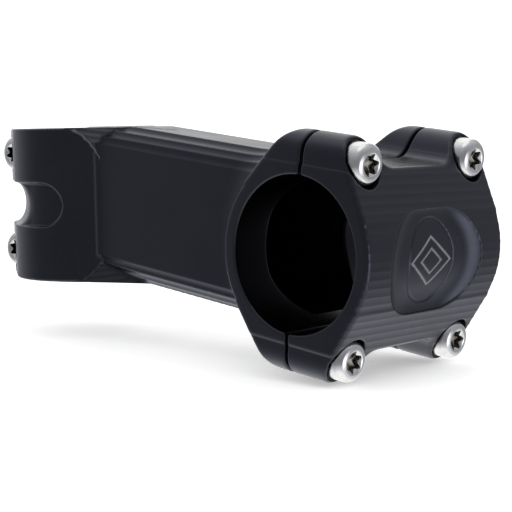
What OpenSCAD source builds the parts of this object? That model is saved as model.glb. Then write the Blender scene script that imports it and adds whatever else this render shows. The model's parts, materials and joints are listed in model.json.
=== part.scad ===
// Handlebar stem, machined from one billet, with a four-bolt faceplate.
// Millimetres. +Z up along the steerer axis, +X forward to the bar, +Y to the rider's left.
// Origin: on the steerer axis, at the middle of the steerer clamp's height.

/* [Reach] */
// Distance from the steerer axis to the bar axis, along the extension
reach = 90; // [80:1:110]
// Angle that the extension drops going forward, degrees
drop = 7; // [5:0.5:9]
// Height above the clamp's middle at which the reach line leaves the steerer axis
rise0 = 3.9; // [2:0.1:5]

/* [Steerer clamp] */
// Steerer tube diameter
steerer_d = 28.6; // [28.6, 28.5, 28.55]
// Outer radius of the steerer clamp's round wall
clamp_r = 18.4; // [18.2:0.1:19]
// Height of the steerer clamp
clamp_h = 37; // [36:0.5:40]
// Radius of the rounded nose that carries the pinch bolts
nose_r = 9.6; // [9.4:0.1:10.4]
// Distance of the nose's centre behind the steerer axis
nose_x = 15.5; // [15:0.1:16.5]
// Width of the pinch slit at the back of the clamp
slit = 2; // [1:0.1:2.5]
// Half height of the scoop between the two pinch bolts
scoop_r = 5.3; // [4.8:0.1:5.5]

/* [Bar clamp] */
// Handlebar diameter
bar_d = 31.8; // [31.8, 31.75, 31.7]
// Width of the bar clamp across the handlebar
bar_w = 45; // [44:0.5:46]
// Outer radius of the bar clamp
bar_r = 19.2; // [19:0.1:20]
// Gap between the stem's half and the faceplate
split = 0.8; // [0.4:0.1:1.2]
// Depth of the slot-shaped relief in the faceplate
relief = 1.8; // [1.2:0.1:2]

/* [Bolts] */
// Bolt shank radius (M5)
shank_r = 2.5; // [2.5, 2.49]
// Radius of the holes that the shanks slide in
hole_r = 2.56; // [2.54:0.01:2.6]
// Bolt head radius
head_r = 4.25; // [4.1:0.05:4.3]
// Bolt head height
head_h = 4.9; // [4.6:0.1:5.2]
// Counterbore radius round a head
seat_r = 4.65; // [4.6:0.05:4.8]
// Half distance between the faceplate bolts along the bar
bolt_y = 17.25; // [17:0.05:17.5]
// Half distance between the faceplate bolts across the bar
bolt_v = 20.25; // [20:0.05:20.5]
// Half distance between the two pinch bolts
pinch_z = 12.3; // [12:0.1:12.6]
// Distance of the pinch bolts behind the steerer axis
pinch_x = 19; // [18.6:0.1:19.4]

/* [Hidden] */
$fn = 96;
e = 0.01;
bar_x = reach * cos(drop);
bar_z = rise0 - reach * sin(drop);
boss_r = bar_w / 2 - bolt_y;          // ear boss, flush with the side face
seat_u = 9.0;                         // faceplate bolt seats, from the split plane
face_len = 16;                        // faceplate bolt shank
pinch_seat = 4.6;                     // pinch bolt seats, from the middle plane
pinch_len = 12;
ext_v = -0.5;                         // extension's centre line below the bar centre
ext_h = 18.1;                         // half height of the extension
ext_w = 10.3;                         // half width of the extension
metal = [0.12, 0.12, 0.13];
silver = [0.78, 0.78, 0.79];

// the bar clamp's frame: x forward and square to the split, y along the bar
module bar_frame() translate([bar_x, 0, bar_z]) rotate([0, drop, 0]) children();

// lies along y, centred
module ycyl(r, h, fn = 96) rotate([90, 0, 0]) cylinder(r = r, h = h, center = true, $fn = fn);
// lies along +x from x = 0
module xcyl(r, h, fn = 64) rotate([0, 90, 0]) cylinder(r = r, h = h, $fn = fn);

// steerer clamp seen from above: round wall, straight cheeks, rounded nose
ta = acos((clamp_r - nose_r) / nose_x);
module clamp_plan() {
    circle(clamp_r, $fn = 128);
    translate([-nose_x, 0]) circle(nose_r, $fn = 96);
    polygon([for (s = [-1, 1]) for (k = s < 0 ? [0, 1] : [1, 0])
        k == 0 ? [-(clamp_r - 0.02) * cos(ta), s * (clamp_r - 0.02) * sin(ta)]
               : [-nose_x - (nose_r - 0.02) * cos(ta), s * (nose_r - 0.02) * sin(ta)]]);
}

// extension seen end on, w half wide and h half high, long corners in three flats
module ext_section(w, h) {
    q = [[0, 4.9], [0.5, 2.95], [1.8, 1.35], [4, 0]];
    a = [for (p = q) [h - p[1], w - p[0]]];
    polygon(concat(a, [for (i = [3:-1:0]) [a[i][0], -a[i][1]]],
                   [for (i = [0:3]) [-a[i][0], -a[i][1]]], [for (i = [3:-1:0]) [-a[i][0], a[i][1]]]));
}
module ext_slice(u, w, h, v = 0, t = 0.05) translate([u, 0, v]) rotate([0, -90, 0]) linear_extrude(t) ext_section(w, h);

module extension() {
    ext_slice(-14, ext_w, ext_h, ext_v, 70);
    hull() { ext_slice(-32, ext_w, ext_h, ext_v); ext_slice(-24, ext_w + 2.2, ext_h + 0.1, ext_v); ext_slice(-14, 19, ext_h + 0.4, ext_v); }
}
// webs that fill the corners between the clamp's round and the extension's long corners
module web(t) hull() {
    translate([0, 0, t > 0 ? clamp_h / 2 - 0.3 : -clamp_h / 2]) linear_extrude(0.3)
        polygon([[10.7, -14.9], [24.5, -6.2], [24.5, 6.2], [10.7, 14.9]]);
    translate([0, 0, t > 0 ? 15 : -15.3]) linear_extrude(0.3) polygon([[14.3, -11.4], [16, 0], [14.3, 11.4]]);
}

// rounded hollow seen end on
module pocket_slice(u, w, h, r) translate([u, 0, ext_v]) rotate([0, -90, 0]) linear_extrude(0.05) {
    for (s = [-1, 1]) for (t = [-1, 1]) translate([s * (h - r), t * (w - r)]) circle(r, $fn = 28);
    square([2 * h - 2 * r, 2 * w], center = true);
}

// bar clamp seen from the side, both halves: round wall and flanks out to the bosses
module bar_side(front) {
    circle(bar_r, $fn = 128);
    if (front) polygon([[0, -25.6], [9.0, -25.6], [13.9, -15.8], [16.9, -9.1], [16.9, 9.1], [13.9, 15.8], [9.0, 25.6], [0, 25.6]]);
    else polygon([[0, -25.6], [-3.4, -25.6], [-5.6, -24.3], [-15.1, -11.8], [-15.1, 11.8], [-5.6, 24.3], [-3.4, 25.6], [0, 25.6]]);
}
// bar clamp seen from the front: four round bosses and a filleted saddle between each pair
saddle_v = 18.5;
fil = 4;
fy = bolt_y - sqrt(pow(boss_r + fil - 0.03, 2) - pow(saddle_v + fil - bolt_v, 2));
module bar_front() {
    difference() {
        union() {
            square([2 * bolt_v, bar_w], center = true);
            square([2 * bolt_v + 2.5, 2 * bolt_y - 8], center = true);
            for (s = [-1, 1]) for (t = [-1, 1]) translate([s * bolt_v, t * bolt_y]) circle(boss_r, $fn = 64);
        }
        for (s = [-1, 1]) {
            translate([s > 0 ? saddle_v : -40, -fy]) square([40 - saddle_v, 2 * fy]);
            for (t = [-1, 1]) translate([s * (saddle_v + fil), t * fy]) circle(fil, $fn = 48);
        }
    }
}
module bar_block(front) intersection() {
    rotate([90, 0, 0]) linear_extrude(bar_w, center = true) bar_side(front);
    translate([-30, 0, 0]) rotate([0, 90, 0]) linear_extrude(60) bar_front();
}

// slot-shaped cut in each cheek of the clamp, and the scoop that goes on round the back
module scoops() {
    for (s = [-1, 1]) difference() {
        translate([0, s * 8, 0]) rotate([s < 0 ? 90 : -90, 0, 0]) linear_extrude(20) {
            translate([3.9, 0]) circle(scoop_r, $fn = 48);
            translate([-18, -scoop_r + 0.02]) square([21.9, 2 * scoop_r - 0.04]);
        }
        cylinder(r = 17.35, h = 40, center = true, $fn = 128);
    }
    rotate([0, 0, 122]) rotate_extrude(angle = 116, $fn = 128) translate([17.2 + 6.2, 0]) circle(6.2, $fn = 48);
}

module stem_body() color(metal) difference() {
    union() {
        translate([0, 0, -clamp_h / 2]) linear_extrude(clamp_h) clamp_plan();
        for (t = [-1, 1]) web(t);
        intersection() {
            bar_frame() extension();
            translate([1, -30, -60]) cube([110, 60, 60 + clamp_h / 2]);
        }
        bar_frame() bar_block(false);
    }
    // steerer bore and pinch slit
    cylinder(r = steerer_d / 2, h = clamp_h + 60, center = true, $fn = 128);
    translate([-nose_x - nose_r - 5, -slit / 2, -clamp_h]) cube([nose_r + 10, slit, 2 * clamp_h]);
    scoops();
    // pinch bolt seats, holes and the far side's run-out
    for (s = [-1, 1]) translate([-pinch_x, 0, s * pinch_z]) {
        translate([0, -pinch_seat - 15, 0]) ycyl(seat_r, 30, 64);
        ycyl(hole_r, 60, 48);
    }
    bar_frame() {
        // faceplate side of the split
        translate([-split / 2, -40, -40]) cube([60, 80, 80]);
        ycyl(bar_d / 2, bar_w + 10, 128);
        for (s = [-1, 1]) for (t = [-1, 1]) translate([-30, s * bolt_y, t * bolt_v]) xcyl(hole_r, 40, 48);
        // hollow extension, open into the bar clamp
        hull() { pocket_slice(-8, 13.4, 15.4, 11); pocket_slice(-17, 12.6, 15.3, 10); pocket_slice(-33, 7.6, 15.2, 5); }
        hull() { pocket_slice(-30, 7.6, 15.2, 5); pocket_slice(-66, 7.2, 13.5, 5); }
    }
}

module faceplate() color(metal) bar_frame() difference() {
    bar_block(true);
    translate([-60 + split / 2, -40, -40]) cube([60, 80, 80]);
    ycyl(bar_d / 2, bar_w + 10, 128);
    for (s = [-1, 1]) for (t = [-1, 1]) translate([0, s * bolt_y, t * bolt_v]) {
        translate([-5, 0, 0]) xcyl(hole_r, 30, 48);
        translate([seat_u, 0, 0]) xcyl(seat_r, 20, 64);
    }
    // slot-shaped relief, following the round of the face
    difference() {
        translate([8, 0, 0]) rotate([0, 90, 0]) linear_extrude(20) union() {
            for (t = [-1, 1]) translate([0, t * 4.5]) circle(10.5, $fn = 96);
            square([20.96, 9], center = true);
        }
        ycyl(bar_r - relief, 60, 128);
    }
    // plain engraved ring inside the relief
    difference() {
        translate([8, 0, 0]) xcyl(6.6, 20, 64);
        translate([7, 0, 0]) xcyl(6.2, 22, 64);
        ycyl(bar_r - relief - 0.3, 60, 128);
    }
}

// a bolt along -x: the head's top at x = head_h, the shank from x = 0 back
module bolt(len) difference() {
    rotate([0, 90, 0]) rotate_extrude($fn = 64) polygon([[0, -len], [shank_r - 0.5, -len], [shank_r, -len + 0.5], [shank_r, 0],
        [head_r, 0], [head_r, head_h - 1.1], [head_r - 1.35, head_h - 0.1], [head_r - 1.8, head_h], [0, head_h]]);
    // six-lobed driver recess
    translate([head_h - 2.6, 0, 0]) {
        xcyl(1.72, 4, 48);
        for (i = [0:5]) rotate([i * 60, 0, 0]) translate([0, 1.72, 0]) xcyl(0.5, 4, 24);
    }
}
module face_bolt(s, t) color(silver) bar_frame() translate([seat_u, s * bolt_y, t * bolt_v]) bolt(face_len);
module pinch_bolt(t) color(silver) translate([-pinch_x, -pinch_seat, t * pinch_z]) rotate([0, 0, -90]) bolt(pinch_len);

module face_bolt_tl() face_bolt(-1, 1);
module face_bolt_tr() face_bolt(1, 1);
module face_bolt_bl() face_bolt(-1, -1);
module face_bolt_br() face_bolt(1, -1);
module pinch_bolt_top() pinch_bolt(1);
module pinch_bolt_bottom() pinch_bolt(-1);

stem_body();
faceplate();
face_bolt_tl();
face_bolt_tr();
face_bolt_bl();
face_bolt_br();
pinch_bolt_top();
pinch_bolt_bottom();
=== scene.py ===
import bpy
import json
import math
import numpy as np
from mathutils import Matrix, Vector


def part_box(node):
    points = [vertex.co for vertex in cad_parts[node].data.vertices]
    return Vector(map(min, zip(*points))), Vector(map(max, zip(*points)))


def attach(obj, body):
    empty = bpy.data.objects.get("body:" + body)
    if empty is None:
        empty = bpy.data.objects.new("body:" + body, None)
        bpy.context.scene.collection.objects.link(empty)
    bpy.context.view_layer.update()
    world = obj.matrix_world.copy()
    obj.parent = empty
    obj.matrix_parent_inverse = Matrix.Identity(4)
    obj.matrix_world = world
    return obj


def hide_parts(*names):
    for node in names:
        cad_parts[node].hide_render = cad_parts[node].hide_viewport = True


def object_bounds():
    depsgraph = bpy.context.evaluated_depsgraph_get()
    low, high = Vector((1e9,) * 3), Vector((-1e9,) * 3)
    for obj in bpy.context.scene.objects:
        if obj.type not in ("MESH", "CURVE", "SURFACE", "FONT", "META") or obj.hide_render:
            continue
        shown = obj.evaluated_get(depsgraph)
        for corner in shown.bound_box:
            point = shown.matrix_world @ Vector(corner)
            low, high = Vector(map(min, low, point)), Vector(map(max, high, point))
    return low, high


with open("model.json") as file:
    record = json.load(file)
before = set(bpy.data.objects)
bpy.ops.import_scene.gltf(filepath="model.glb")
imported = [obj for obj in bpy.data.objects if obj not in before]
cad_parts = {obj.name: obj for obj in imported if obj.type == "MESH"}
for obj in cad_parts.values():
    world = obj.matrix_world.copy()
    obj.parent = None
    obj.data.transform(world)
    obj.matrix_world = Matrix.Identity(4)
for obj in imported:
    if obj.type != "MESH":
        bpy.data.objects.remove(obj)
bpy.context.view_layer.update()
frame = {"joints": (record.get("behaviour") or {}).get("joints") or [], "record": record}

# ---------------------------------------------------------------- the frame's own numbers, in mm
MOUNT = {m["name"]: m for m in frame["record"]["mounts"]}
BX, _, BZ = [c * 1000 for c in MOUNT["bar_bore"]["pos_m"]]
BAR_R = MOUNT["bar_bore"]["dims"]["r_mm"]
TUBE_R = MOUNT["steerer_bore"]["dims"]["r_mm"]
BOLT_AXIS = Vector([j for j in frame["joints"] if j["name"] == "faceplate_off"][0]["axis"]).normalized()
C7, S7 = BOLT_AXIS.x, -BOLT_AXIS.z


def node_mid(name):
    lo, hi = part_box(name)
    return (np.array(lo) + np.array(hi)) * 500


def to_bar(x, z):
    """forward (u) and up (v) in the bar clamp's own frame"""
    dx, dz = x - BX, z - BZ
    return dx * C7 - dz * S7, dx * S7 + dz * C7


_, face_v = to_bar(*node_mid("face_bolt_tr")[[0, 2]])
BOLT_Y = abs(node_mid("face_bolt_tr")[1])
BOLT_V = abs(face_v)
PINCH = node_mid("pinch_bolt_top")
PINCH_X, PINCH_Z = -PINCH[0], PINCH[2]
WIDTH = (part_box("faceplate")[1].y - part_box("faceplate")[0].y) * 500
HALF_H = 18.5
HEAD_H = 4.9
SEAT_U = 9.0
SEAT_Y = 4.6
PINCH_LEN = 12.0
CLAMP_R, NOSE_R, NOSE_X = 18.4, 9.6, 15.5
RIM_R = 19.2


# ---------------------------------------------------------------- distance fields
def smin(a, b, k):
    h = np.maximum(k - np.abs(a - b), 0) / k
    return np.minimum(a, b) - h * h * k * 0.25


def smax(a, b, k):
    h = np.maximum(k - np.abs(a - b), 0) / k
    return np.maximum(a, b) + h * h * k * 0.25


def scallop(t, pitch, depth):
    """height of ball-mill passes: zero at each cusp, -depth between"""
    f = t / pitch
    f = f - np.floor(f) - 0.5
    return -depth * (1 - 4 * f * f)


def step(a, b, x):
    t = np.clip((x - a) / (b - a), 0, 1)
    return t * t * (3 - 2 * t)


# long corners of the extension: ridges between three passes, (half width, half height)
RIDGES = [(10.3, 13.2), (9.8, 15.15), (8.5, 16.75), (6.3, 18.1)]
MILL = 2.7


def extension_section(ay, w):
    d = np.maximum(w - 18.1, ay - 10.3)
    for (y0, w0), (y1, w1) in zip(RIDGES[:-1], RIDGES[1:]):
        dy, dw = y1 - y0, w1 - w0
        c = math.hypot(dy, dw)
        ny, nw = dw / c, -dy / c
        d = np.maximum(d, (ay - y0) * ny + (w - w0) * nw)
        lift = math.sqrt(MILL * MILL - c * c / 4)
        cy, cw = (y0 + y1) / 2 + ny * lift, (w0 + w1) / 2 + nw * lift
        d = np.maximum(d, MILL - np.hypot(ay - cy, w - cw))
    return d


def clamp_plan(x, ay):
    b = (CLAMP_R - NOSE_R) / NOSE_X
    a = math.sqrt(1 - b * b)
    px, py = ay, -x
    k = -b * px + a * py
    d = px * a + py * b - CLAMP_R
    d = np.where(k < 0, np.hypot(px, py) - CLAMP_R, d)
    return np.where(k > a * NOSE_X, np.hypot(px, py - NOSE_X) - NOSE_R, d)


def bar_front(ay, av):
    """both ears and the saddle between them, seen from the front"""
    boss = np.minimum(np.hypot(ay - BOLT_Y, av - BOLT_V) - (WIDTH - BOLT_Y),
                      np.maximum(np.abs(ay - BOLT_Y) - (WIDTH - BOLT_Y), av - BOLT_V))
    return np.where(ay < BOLT_Y, smin(av - 18.5, boss, 4.7), np.minimum(av - 18.5, boss))


def hollow(u, ay, av):
    w = np.interp(u, [-66, -33, -17, -8], [7.2, 7.6, 12.6, 13.4])
    h = np.interp(u, [-66, -33, -17, -8], [13.5, 15.2, 15.3, 15.4])
    r = np.interp(u, [-66, -33, -17, -8], [5.0, 5.0, 10.0, 11.0])
    qy, qv = ay - w + r, av - h + r
    d = np.hypot(np.maximum(qy, 0), np.maximum(qv, 0)) + np.minimum(np.maximum(qy, qv), 0) - r
    return smax(d, -(u + 66), 4.0)


def blocks(x, y, z, u, v):
    """steerer clamp, extension and the corner webs between them"""
    ay, az, w = np.abs(y), np.abs(z), np.abs(v + 0.5)
    clamp = smax(clamp_plan(x, ay), az - HALF_H, 0.7)
    ext = np.maximum(np.maximum(extension_section(ay, w), -u - 84), u + 10)
    ext = np.maximum(ext, z - HALF_H)
    # corner webs between the clamp's round and the long corners
    top = 0.53 * x + 0.807 * ay - 0.26 * z - 12.99 - scallop(z + 0.16 * x, 1.5, 0.09)
    top = np.maximum(np.maximum(top, z - HALF_H), np.maximum(10.2 - x, v + 0.5 - 18.1))
    low = 0.37 * x + 0.813 * ay + 0.448 * z - 7.4 - scallop(z - 0.16 * x, 1.5, 0.10)
    low = np.maximum(np.maximum(low, -z - HALF_H), 7.5 - x)
    low = np.maximum(low, x - 32)
    return clamp, ext, np.where(z > 0, np.maximum(top, 4 - z), np.maximum(low, 4 + z))


def painted_highlight_seams(p):
    """painted highlight lines: lighter colour where two paths of the mill meet, round the scoop's end and as a sheen
    on the upper webs
    """
    x, y, z = p[..., 0], p[..., 1], p[..., 2]
    u, v = to_bar(x, z)
    clamp, ext, web = blocks(x, y, z, u, v)
    # painted highlight on the arcs where the clamp meets the webs, stronger on the upper side, and along the clamp's
    # foot on the extension
    arc = step(0.11, 0.01, np.abs(clamp - web)) * (np.abs(z) < 18.0) * (x < 17) * np.where(z > 0, 0.42, 0.14)
    foot = step(0.40, 0.08, np.abs(clamp - ext)) * (np.abs(v + 0.5) < 13.4) * 0.09
    # painted sheen on the upper webs, rippling with the mill's passes
    sheen = step(0.14, 0.03, np.abs(web)) * (z > 0) * 0.085 * (1 + 0.6 * np.cos((z + 0.16 * x) * 2 * math.pi / 1.5))
    rr = np.hypot(x, y)
    lines = np.where((x > 10.6) & (rr > 17), np.maximum(np.maximum(arc, foot), sheen), 0.0)
    # painted highlight on the rim round the scoop's slot-shaped end
    end = np.hypot(x - 3.9, z) - 5.4
    lip = step(-1.0, -0.5, end) * (end < 0.05) * step(5.2, 7.6, x) * 0.20
    return np.maximum(lines, np.where(rr < CLAMP_R - 0.03, lip, 0.0) * (rr > CLAMP_R - 2))


def painted_cavity_shade(p):
    """1 on the walls of the bar bore and of the hollow, where painted shade goes"""
    x, y, z = p[..., 0], p[..., 1], p[..., 2]
    u, v = to_bar(x, z)
    bore = step(BAR_R + 0.45, BAR_R + 0.15, np.hypot(u, v)) * (np.abs(y) < WIDTH - 0.3)
    inner = (u < -8) & (hollow(u, np.abs(y), np.abs(v + 0.5)) < 0.5)
    return np.maximum(bore, inner)


def stem_field(p):
    x, y, z = p[..., 0], p[..., 1], p[..., 2]
    u, v = to_bar(x, z)
    ay, az, av, w = np.abs(y), np.abs(z), np.abs(v), np.abs(v + 0.5)
    clamp, ext, web = blocks(x, y, z, u, v)

    side = np.minimum(np.hypot(u, v) - RIM_R,
                      np.maximum(smax(av - 25.5, -0.771 * u + 0.637 * av - 19.55, 3.0), -u - 15.0))
    bar = smax(side, bar_front(ay, av), 0.7)
    bar = smax(bar, ay - WIDTH, 1.1)

    core = smin(clamp, ext, 1.1)
    core = smin(core, web, 0.35)
    barrel = np.maximum(np.hypot(u, v) - RIM_R, ay - (WIDTH - 3))
    flare = smin(ext, barrel, 13.0)                  # broad fillet into the bar clamp
    flare = np.maximum(flare, w - 18.2)
    d = smin(np.where(u > -45, np.minimum(core, flare), core), bar, 0.5)

    # pinch slit and steerer bore
    bore = np.hypot(x, y) - TUBE_R
    d = smax(d, -bore, 0.5)
    d = smax(d, -np.maximum(ay - 1.0, x + 8), 0.35)
    # scoop round the back, and its slot-shaped ends in the cheeks
    rr = np.hypot(x, y)
    tool = 5.4                                        # end mill, its axis along the bar
    left = x - np.sqrt(np.maximum(tool * tool - z * z, 0))
    sweep = -clamp_plan(left, ay) + scallop(left, 1.15, 0.045)
    sweep = np.maximum(np.maximum(sweep, az - tool), x - 3.0)
    slot = np.where(x > 3.9, np.hypot(x - 3.9, z), az) - tool
    steep = 1.15 + 2.2 * (az / tool) ** 4
    depth = np.minimum(1.3 * step(-8.5, -1.0, x), steep * np.maximum(-slot, 0))
    cheek = np.maximum(slot, CLAMP_R - depth - rr)
    cheek = np.maximum(cheek, -x - 10.0)
    scoop = smin(cheek, sweep, 0.5)
    d = smax(d, -scoop, 0.4)
    # pinch bolt seats and holes
    for s in (-1, 1):
        rad = np.hypot(x + PINCH_X, z - s * PINCH_Z)
        d = smax(d, -np.maximum(rad - 4.65, y + SEAT_Y), 0.35)
        d = np.maximum(d, -(rad - 2.56))
    # bar bore, split face, bolt holes, hollow
    d = smax(d, u + 0.4, 0.5)
    d = smax(d, -(np.hypot(u, v) - BAR_R), 0.5)
    hole = np.maximum(np.hypot(ay - BOLT_Y, av - BOLT_V) - 2.56, -u - 30)
    d = smax(d, -hole, 0.3)
    return smax(d, -np.where(u < -6, hollow(u, ay, np.abs(v + 0.5)), 50.0), 0.5)


def emblem(y, v):
    """one plain diamond outline inside another, both generic"""
    a = np.abs(y) / 6.3 + np.abs(v) / 4.9
    line = np.abs(a - 1.0) * 3.9 - 0.19
    inner = np.abs(a - 0.52) * 3.9 - 0.16
    return np.minimum(line, inner)


def faceplate_parts(p):
    x, y, z = p[..., 0], p[..., 1], p[..., 2]
    u, v = to_bar(x, z)
    ay, av = np.abs(y), np.abs(v)
    rr = np.hypot(u, v)
    oval = np.hypot(y / 7.3, v / 8.5)
    ring = np.abs(oval - 1) * 7.9 - 0.24
    return u, v, y, ay, av, rr, ring


def faceplate_field(p):
    u, v, y, ay, av, rr, ring = faceplate_parts(p)
    flank = 0.885 * u + 0.46 * av
    side = smin(rr - RIM_R, np.maximum(smax(av - 25.5, flank - 19.4, 0.8), u - 17.2), 0.5)
    # level passes of the mill across the face
    marks = scallop(v + 0.4 + 0.02 * y, 1.74, 0.062) * step(3.0, 8.0, u)
    side = side - marks
    d = smax(side, bar_front(ay, av), 0.7)
    d = smax(d, ay - WIDTH, 1.1)
    d = smax(d, 0.4 - u, 0.5)
    d = smax(d, -(rr - BAR_R), 0.5)
    for s in (-1, 1):
        for t in (-1, 1):
            rad = np.hypot(y - s * BOLT_Y, v - t * BOLT_V)
            d = smax(d, -np.maximum(rad - 4.65, SEAT_U - u), 0.3)
            d = np.maximum(d, -(rad - 2.56))
    # slot-shaped relief with a dished wall
    sy = np.maximum(ay - 4.5, 0)
    s = np.hypot(sy, v) - 10.5
    run, big = 4.8, 8.0
    fall = np.clip(run + s, 0, run + 1)
    floor = 17.4 + big - np.sqrt(big * big - fall * fall)
    floor = floor - 0.16 * step(0.10, -0.10, ring) - 0.16 * step(0.08, -0.08, emblem(y, v))
    pocket = np.maximum(s, floor - rr)
    pocket = np.where(u > 5, pocket, 50.0)
    return smax(d, -pocket, 0.28)


def bolt_field(p, length=16.0, thread=True):
    """axis x, head seat at x = 0, head top at x = HEAD_H, shank to x = -length"""
    x, y, z = p[..., 0], p[..., 1], p[..., 2]
    r, a = np.hypot(y, z), np.arctan2(z, y)
    head = np.maximum(r - 4.25, -x)
    head = smax(head, x - (HEAD_H - 0.02 * r * r * 0.4), 0.5)
    head = smax(head, 0.70 * x + 0.714 * r - (0.70 * (HEAD_H - 1.05) + 0.714 * 4.25), 0.45)
    head = smax(head, -(x - 0.0), 0.3)
    turn = (x / 0.8 - a / (2 * math.pi)) % 1.0
    groove = 0.34 * np.abs(2 * turn - 1) * step(-2.2, -3.2, x) * step(-length, -length + 0.8, x)
    shank = np.maximum(np.maximum(r - 2.5 + groove, -x - length), x - 1)
    shank = smax(shank, 0.7071 * (r - 2.5) + 0.7071 * (-x - length + 0.9), 0.2)
    d = np.minimum(head, shank)
    lobe = 1.88 + 0.36 * np.cos(6 * a) + 0.03 * np.cos(12 * a)
    cut = smax((r - lobe) * 0.93, HEAD_H - 2.5 + 0.35 * r - x, 0.3)
    sink = 0.6 * r - 0.8 * (x - HEAD_H) - 0.6 * 2.42
    cut = smin(cut, np.maximum(sink, HEAD_H - 0.6 - x), 0.12)
    d = smax(d, -cut, 0.14)
    ring = np.abs(r - 3.02) - 0.10                      # faint turned line round the crown
    return d + 0.03 * step(0.08, -0.08, ring) * step(HEAD_H - 1.4, HEAD_H - 0.6, x)


# ---------------------------------------------------------------- surface nets
def sample(field, p, chunk=400000):
    flat = p.reshape(-1, 3)
    out = np.empty(len(flat), np.float32)
    for i in range(0, len(flat), chunk):
        out[i:i + chunk] = field(flat[i:i + chunk])
    return out.reshape(p.shape[:-1])


def nets(field, lo, hi, h, passes=3):
    lo, hi = np.array(lo, float), np.array(hi, float)
    n = np.ceil((hi - lo) / h).astype(int) + 1
    ax = [lo[i] + h * np.arange(n[i]) for i in range(3)]
    f = np.empty(n, np.float32)
    yy, zz = np.meshgrid(ax[1], ax[2], indexing="ij")
    for i in range(n[0]):
        f[i] = field(np.stack([np.full_like(yy, ax[0][i]), yy, zz], -1))
    f[np.abs(f) < 1e-6] = 1e-6
    inside = f < 0
    count = np.zeros(n - 1, np.int8)
    corners = [(i, j, k) for i in (0, 1) for j in (0, 1) for k in (0, 1)]
    for i, j, k in corners:
        count += inside[i:n[0] - 1 + i, j:n[1] - 1 + j, k:n[2] - 1 + k]
    cell = np.argwhere((count > 0) & (count < 8))
    number = np.full(n - 1, -1, np.int32)
    number[tuple(cell.T)] = np.arange(len(cell))
    total, hits = np.zeros((len(cell), 3)), np.zeros(len(cell))
    for a in corners:
        for axis in range(3):
            if a[axis]:
                continue
            b = list(a); b[axis] = 1
            fa = f[tuple((cell + a).T)].astype(float)
            fb = f[tuple((cell + b).T)].astype(float)
            cross = (fa < 0) != (fb < 0)
            t = np.where(cross, fa / np.where(cross, fa - fb, 1), 0)
            q = np.array(a, float)[None] + np.zeros((len(cell), 3))
            q[:, axis] += t
            total += q * cross[:, None]
            hits += cross
    co = lo + (cell + total / hits[:, None]) * h
    # onto the true surface
    eps = 0.01
    start = co.copy()
    for _ in range(passes):
        d0 = sample(field, co).astype(float)
        g = np.stack([(sample(field, co + eps * e) - sample(field, co - eps * e)).astype(float) / (2 * eps) for e in np.eye(3)], -1)
        g2 = np.maximum((g * g).sum(-1), 0.25)
        move = -(d0 / g2)[:, None] * g
        size = np.linalg.norm(move, axis=1, keepdims=True)
        move *= np.minimum(1, 0.35 * h / np.maximum(size, 1e-9))
        co = co + move
        off = co - start
        size = np.linalg.norm(off, axis=1, keepdims=True)
        co = start + off * np.minimum(1, 0.6 * h / np.maximum(size, 1e-9))
    quads = []
    for axis in range(3):
        o1, o2 = (axis + 1) % 3, (axis + 2) % 3
        sl_a = [slice(1, n[i] - 1) for i in range(3)]
        sl_b = list(sl_a)
        sl_a[axis], sl_b[axis] = slice(0, n[axis] - 1), slice(1, n[axis])
        ia, ib = inside[tuple(sl_a)], inside[tuple(sl_b)]
        e = np.argwhere(ia != ib)
        first = ia[tuple(e.T)]
        base = e.copy()
        base[:, o1] += 1
        base[:, o2] += 1
        ring = []
        for d1, d2 in ((-1, -1), (0, -1), (0, 0), (-1, 0)):
            c = base.copy()
            c[:, o1] += d1
            c[:, o2] += d2
            ring.append(number[tuple(c.T)])
        ring = np.stack(ring, 1)
        ring[~first] = ring[~first][:, ::-1]
        quads.append(ring)
    return co, np.concatenate(quads)


def mesh_object(name, co_mm, quads, attributes=()):
    me = bpy.data.meshes.new(name)
    me.vertices.add(len(co_mm))
    me.vertices.foreach_set("co", (co_mm / 1000).astype(np.float32).ravel())
    me.loops.add(quads.size)
    me.loops.foreach_set("vertex_index", quads.astype(np.int32).ravel())
    me.polygons.add(len(quads))
    me.polygons.foreach_set("loop_start", (np.arange(len(quads)) * 4).astype(np.int32))
    me.update(calc_edges=True)
    me.validate()
    me.polygons.foreach_set("use_smooth", np.ones(len(me.polygons), bool))
    for label, values in attributes:
        a = me.attributes.new(label, "FLOAT", "POINT")
        a.data.foreach_set("value", np.asarray(values, np.float32))
    ob = bpy.data.objects.new(name, me)
    bpy.context.scene.collection.objects.link(ob)
    return ob


# ---------------------------------------------------------------- materials
def new_material(name):
    m = bpy.data.materials.new(name)
    m.use_nodes = True
    nt = m.node_tree
    return m, nt, nt.nodes["Principled BSDF"], nt.nodes.new, nt.links.new


def noise(nt, coords, scale, detail=3.0, rough=0.55, stretch=None, tilt=0.0):
    n = nt.nodes.new("ShaderNodeTexNoise")
    n.inputs["Scale"].default_value = scale
    n.inputs["Detail"].default_value = detail
    n.inputs["Roughness"].default_value = rough
    src = coords
    if stretch:
        mp = nt.nodes.new("ShaderNodeMapping")
        mp.inputs["Scale"].default_value = stretch
        mp.inputs["Rotation"].default_value = (0, tilt, 0)
        nt.links.new(src, mp.inputs["Vector"])
        src = mp.outputs["Vector"]
    nt.links.new(src, n.inputs["Vector"])
    return n.outputs["Fac"]


def remap(nt, value, lo, hi, a, b):
    r = nt.nodes.new("ShaderNodeMapRange")
    r.inputs["From Min"].default_value, r.inputs["From Max"].default_value = lo, hi
    r.inputs["To Min"].default_value, r.inputs["To Max"].default_value = a, b
    nt.links.new(value, r.inputs["Value"])
    return r.outputs["Result"]


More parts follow.
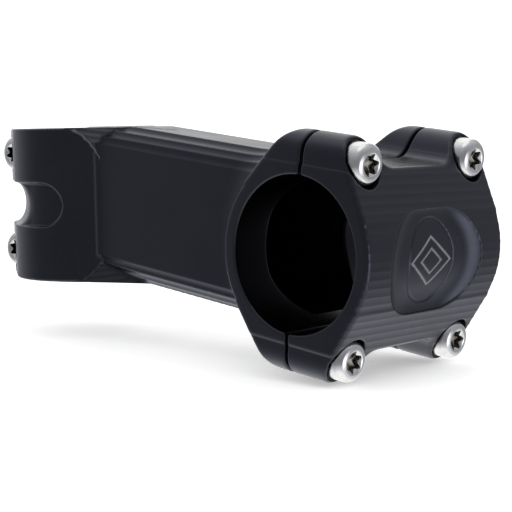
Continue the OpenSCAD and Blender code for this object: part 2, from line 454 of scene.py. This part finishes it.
def anodised():
    m, nt, bsdf, new, link = new_material("black_anodised")
    coords = new("ShaderNodeTexCoord").outputs["Object"]
    bsdf.inputs["Metallic"].default_value = 0.0
    bsdf.inputs["IOR"].default_value = 1.5
    bsdf.inputs["Specular Tint"].default_value = (0.79, 0.825, 1.0, 1)
    cloud = noise(nt, coords, 55, 4)
    grain = noise(nt, coords, 2600, 2)
    brush = noise(nt, coords, 900, 2, stretch=(0.05, 1.0, 1.0), tilt=math.radians(7))
    wear = new("ShaderNodeNewGeometry").outputs["Pointiness"]
    edge = remap(nt, wear, 0.56, 0.70, 0.0, 1.0)
    etch_and_painted_highlight = new("ShaderNodeAttribute"); etch_and_painted_highlight.attribute_name = "etch_and_painted_highlight"
    # colour: near black, a breath lighter on worn edges, the metal showing through in the etched mark, and lighter
    # along the painted highlight lines on the stem
    ramp = new("ShaderNodeValToRGB")
    ramp.color_ramp.elements[0].position, ramp.color_ramp.elements[1].position = 0.3, 0.75
    ramp.color_ramp.elements[0].color = (0.0024, 0.0025, 0.0036, 1)
    ramp.color_ramp.elements[1].color = (0.0040, 0.0042, 0.0058, 1)
    link(cloud, ramp.inputs["Fac"])
    worn = new("ShaderNodeMix"); worn.data_type = "RGBA"
    worn.inputs["B"].default_value = (0.045, 0.045, 0.047, 1)
    link(ramp.outputs["Color"], worn.inputs["A"])
    link(edge, worn.inputs["Factor"])
    bare_and_highlight = new("ShaderNodeMix"); bare_and_highlight.data_type = "RGBA"
    bare_and_highlight.inputs["B"].default_value = (0.20, 0.20, 0.205, 1)
    link(worn.outputs["Result"], bare_and_highlight.inputs["A"])
    link(etch_and_painted_highlight.outputs["Fac"], bare_and_highlight.inputs["Factor"])
    # painted shade: the bar bore and the hollow get a deeper black and a weaker reflection
    deep = new("ShaderNodeAttribute"); deep.attribute_name = "painted_cavity_shade"
    dark = new("ShaderNodeMix"); dark.data_type = "RGBA"
    dark.inputs["B"].default_value = (0.0005, 0.0005, 0.0006, 1)
    link(bare_and_highlight.outputs["Result"], dark.inputs["A"])
    link(deep.outputs["Fac"], dark.inputs["Factor"])
    link(dark.outputs["Result"], bsdf.inputs["Base Color"])
    link(remap(nt, deep.outputs["Fac"], 0.0, 1.0, 0.64, 0.20), bsdf.inputs["Specular IOR Level"])
    # roughness: satin, with slow clouds and fine lines
    add = new("ShaderNodeMath"); add.operation = "ADD"
    link(remap(nt, cloud, 0.3, 0.7, 0.27, 0.33), add.inputs[0])
    link(remap(nt, brush, 0.3, 0.7, -0.02, 0.03), add.inputs[1])
    link(add.outputs["Value"], bsdf.inputs["Roughness"])
    b1 = new("ShaderNodeBump"); b1.inputs["Strength"].default_value = 0.10; b1.inputs["Distance"].default_value = 0.00002
    link(grain, b1.inputs["Height"])
    b2 = new("ShaderNodeBump"); b2.inputs["Strength"].default_value = 0.18; b2.inputs["Distance"].default_value = 0.00003
    link(brush, b2.inputs["Height"]); link(b1.outputs["Normal"], b2.inputs["Normal"])
    b3 = new("ShaderNodeBump"); b3.inputs["Strength"].default_value = 0.25; b3.inputs["Distance"].default_value = 0.00006
    link(noise(nt, coords, 170, 1), b3.inputs["Height"]); link(b2.outputs["Normal"], b3.inputs["Normal"])
    link(b3.outputs["Normal"], bsdf.inputs["Normal"])
    return m


def steel():
    m, nt, bsdf, new, link = new_material("bolt_steel")
    coords = new("ShaderNodeTexCoord").outputs["Object"]
    bsdf.inputs["Metallic"].default_value = 1.0
    cloud = noise(nt, coords, 400, 3)
    ramp = new("ShaderNodeValToRGB")
    ramp.color_ramp.elements[0].position, ramp.color_ramp.elements[1].position = 0.3, 0.7
    ramp.color_ramp.elements[0].color = (0.70, 0.69, 0.67, 1)
    ramp.color_ramp.elements[1].color = (0.84, 0.83, 0.81, 1)
    link(cloud, ramp.inputs["Fac"])
    # painted shade: the recess darker, near black on the pinch bolts
    deep = new("ShaderNodeAttribute"); deep.attribute_name = "recess"
    mix = new("ShaderNodeMix"); mix.data_type = "RGBA"
    mix.inputs["B"].default_value = (0.17, 0.155, 0.13, 1)
    link(ramp.outputs["Color"], mix.inputs["A"]); link(deep.outputs["Fac"], mix.inputs["Factor"])
    painted_recess_shade = new("ShaderNodeAttribute"); painted_recess_shade.attribute_name = "painted_recess_shade"
    last = new("ShaderNodeMix"); last.data_type = "RGBA"
    last.inputs["B"].default_value = (0.02, 0.019, 0.018, 1)
    link(mix.outputs["Result"], last.inputs["A"]); link(painted_recess_shade.outputs["Fac"], last.inputs["Factor"])
    link(last.outputs["Result"], bsdf.inputs["Base Color"])
    link(remap(nt, noise(nt, coords, 900, 2), 0.3, 0.7, 0.16, 0.27), bsdf.inputs["Roughness"])
    turned = noise(nt, coords, 5000, 1, stretch=(1.0, 0.12, 0.12))
    b = new("ShaderNodeBump"); b.inputs["Strength"].default_value = 0.2; b.inputs["Distance"].default_value = 0.00002
    link(turned, b.inputs["Height"]); link(b.outputs["Normal"], bsdf.inputs["Normal"])
    return m


BLACK, STEEL = anodised(), steel()

# ---------------------------------------------------------------- stem body and faceplate
res = 0.31
pad = 1.0
lo, hi = [np.array(c) * 1000 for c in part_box("stem_body")]
co, quads = nets(stem_field, lo - pad, hi + pad, res)
# the stem carries painted highlight lines and painted shade in its bores as attributes
stem = mesh_object("stem_body_machined", co, quads, [("etch_and_painted_highlight", painted_highlight_seams(co)), ("painted_cavity_shade", painted_cavity_shade(co))])
stem.data.materials.append(BLACK)
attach(stem, "stem"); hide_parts("stem_body")

lo, hi = [np.array(c) * 1000 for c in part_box("faceplate")]
co, quads = nets(faceplate_field, lo - pad, hi + pad, 0.2)
u, v, y, ay, av, rr, ring = faceplate_parts(co)
mark = step(0.12, -0.12, emblem(y, v)) * (u > 12) * (rr > 16.6)
# the faceplate carries its etched mark and painted shade in the bar bore as attributes
plate = mesh_object("faceplate_machined", co, quads, [("etch_and_painted_highlight", mark), ("painted_cavity_shade", painted_cavity_shade(co))])
plate.data.materials.append(BLACK)
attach(plate, "faceplate"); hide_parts("faceplate")

# ---------------------------------------------------------------- bolts
def turned(length):
    co, quads = nets(lambda p: bolt_field(p, length), (-length - 0.6, -4.9, -4.9), (HEAD_H + 0.6, 4.9, 4.9), 0.15)
    recess = step(HEAD_H - 0.5, HEAD_H - 1.5, co[:, 0]) * (co[:, 0] > 0.5) * step(2.6, 2.2, np.hypot(co[:, 1], co[:, 2]))
    return co, quads, recess


LONG, SHORT = turned(16.0), turned(PINCH_LEN)


def place_bolt(node, body, seat, axis, spin, made=LONG, painted_recess_shade=0.0):
    bco, bquads, recess = made
    ob = mesh_object(node + "_turned", bco, bquads, [("recess", recess), ("painted_recess_shade", recess * painted_recess_shade)])
    ob.data.materials.append(STEEL)
    q = Vector((1, 0, 0)).rotation_difference(Vector(axis))
    m = Matrix.Translation(Vector(seat) / 1000) @ q.to_matrix().to_4x4() @ Matrix.Rotation(math.radians(spin), 4, "X")
    ob.data.transform(m)
    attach(ob, body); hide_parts(node)
    return ob


for i, (node, s, t) in enumerate((("face_bolt_tl", -1, 1), ("face_bolt_tr", 1, 1), ("face_bolt_bl", -1, -1), ("face_bolt_br", 1, -1))):
    seat_v = t * BOLT_V
    seat = (BX + SEAT_U * C7 + seat_v * S7, s * BOLT_Y, BZ - SEAT_U * S7 + seat_v * C7)
    place_bolt(node, node, seat, BOLT_AXIS, (12, 41, 25, 3)[i])
for i, (node, t) in enumerate((("pinch_bolt_top", 1), ("pinch_bolt_bottom", -1))):
    # the pinch bolts get the full painted shade in their recesses
    place_bolt(node, node, (-PINCH_X, -SEAT_Y, t * PINCH_Z), (0, -1, 0), (20, 35)[i], SHORT, 1.0)

# ---------------------------------------------------------------- stage: floor, reflection card, camera
low_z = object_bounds()[0].z


def stage_mesh(name, verts, faces, material):
    me = bpy.data.meshes.new(name)
    me.from_pydata(verts, [], faces)
    ob = bpy.data.objects.new(name, me)
    ob.data.materials.append(material)
    bpy.context.scene.collection.objects.link(ob)
    return ob


m, nt, bsdf, new, link = new_material("floor_paper")
coords = new("ShaderNodeTexCoord").outputs["Object"]
bsdf.inputs["Specular IOR Level"].default_value = 0.1
ramp = new("ShaderNodeValToRGB")
ramp.color_ramp.elements[0].color, ramp.color_ramp.elements[1].color = (0.90, 0.90, 0.90, 1), (0.93, 0.93, 0.93, 1)
link(noise(nt, coords, 6, 3), ramp.inputs["Fac"]); link(ramp.outputs["Color"], bsdf.inputs["Base Color"])
bsdf.inputs["Roughness"].default_value = 0.9
bsdf.inputs["Emission Color"].default_value = (1, 1, 1, 1)
bsdf.inputs["Emission Strength"].default_value = 0.35
floor = stage_mesh("floor", [(-30, -30, low_z - 0.0006), (30, -30, low_z - 0.0006), (30, 30, low_z - 0.0006), (-30, 30, low_z - 0.0006)], [(0, 1, 2, 3)], m)

floor.visible_glossy = False

# a soft grey card on the working side, which only the reflections see
m, nt, bsdf, new, link = new_material("card")
nt.nodes.remove(bsdf)
em = new("ShaderNodeEmission")
em.inputs["Color"].default_value = (0.90, 0.925, 1.0, 1)
link(em.outputs["Emission"], nt.nodes["Material Output"].inputs["Surface"])
g = new("ShaderNodeTexCoord").outputs["Object"]
sep = new("ShaderNodeSeparateXYZ"); link(g, sep.inputs["Vector"])
down = new("ShaderNodeMath"); down.operation = "MULTIPLY"
link(sep.outputs["Z"], down.inputs[0]); down.inputs[1].default_value = -1.0
above = remap(nt, sep.outputs["Z"], 0.35, 2.6, 0.26, 0.62)
below = remap(nt, down.outputs["Value"], 0.35, 1.30, 0.26, 0.88)
side = new("ShaderNodeMath"); side.operation = "MAXIMUM"
link(above, side.inputs[0]); link(below, side.inputs[1])
turn = remap(nt, sep.outputs["Y"], -0.2, 1.0, 0.0, 0.14)
both = new("ShaderNodeMath"); both.operation = "ADD"
link(side.outputs["Value"], both.inputs[0]); link(turn, both.inputs[1])
# paler towards the back
back = new("ShaderNodeMath"); back.operation = "ADD"
link(both.outputs["Value"], back.inputs[0])
link(remap(nt, sep.outputs["X"], -1.0, -1.5, 0.0, 0.32), back.inputs[1])
# a low soft light ahead of the faceplate
spot = new("ShaderNodeVectorMath"); spot.operation = "DISTANCE"
spot.inputs[1].default_value = (1.53, 0.15, -0.40)
link(g, spot.inputs[0])
glow = new("ShaderNodeMath"); glow.operation = "ADD"
link(back.outputs["Value"], glow.inputs[0])
link(remap(nt, spot.outputs["Value"], 0.20, 0.70, 2.4, 0.0), glow.inputs[1])
link(glow.outputs["Value"], em.inputs["Strength"])
verts, faces = [], []
N, ROWS = 90, (-1.6, -1.2, -0.8, -0.35, 0.0, 0.35, 0.9, 1.5, 2.2, 3.2)
for i in range(N + 1):
    a = math.radians(-202 + 302 * i / N)
    for z in ROWS:
        verts.append((0.04 + 1.5 * math.cos(a), 1.5 * math.sin(a), z))
for i in range(N):
    for j in range(len(ROWS) - 1):
        k = i * len(ROWS) + j
        faces.append((k, k + len(ROWS), k + len(ROWS) + 1, k + 1))
card = stage_mesh("card", verts, faces, m)
card.visible_camera = False
card.visible_diffuse = False
card.visible_shadow = False
card.visible_transmission = False

world = bpy.data.worlds.new("studio")
bpy.context.scene.world = world
world.use_nodes = True
world.node_tree.nodes["Background"].inputs["Color"].default_value = (1, 1, 1, 1)
world.node_tree.nodes["Background"].inputs["Strength"].default_value = 1.15
bpy.context.scene.view_settings.view_transform = "Standard"

cam_data = bpy.data.cameras.new("camera")
cam = bpy.data.objects.new("camera", cam_data)
bpy.context.scene.collection.objects.link(cam)
R = np.array([[0.7252918337967253, 0.6882118693552193, -0.01778141463376262],
              [0.054134410373217, -0.08276157107212062, -0.9950979790790545],
              [-0.686309858184572, 0.7207738516568626, -0.09728223541019064]])
cam.matrix_world = Matrix([[R[0][i], -R[1][i], -R[2][i], (0.26908816, -0.22146889, 0.01930156)[i]] for i in range(3)] + [[0, 0, 0, 1]])
cam_data.sensor_width = 36
cam_data.lens = 1367.775 / 512 * 36
cam_data.shift_x = -(256.37 - 256) / 512
cam_data.shift_y = (255.12 - 256) / 512
cam_data.clip_start, cam_data.clip_end = 0.01, 100
bpy.context.scene.camera = cam
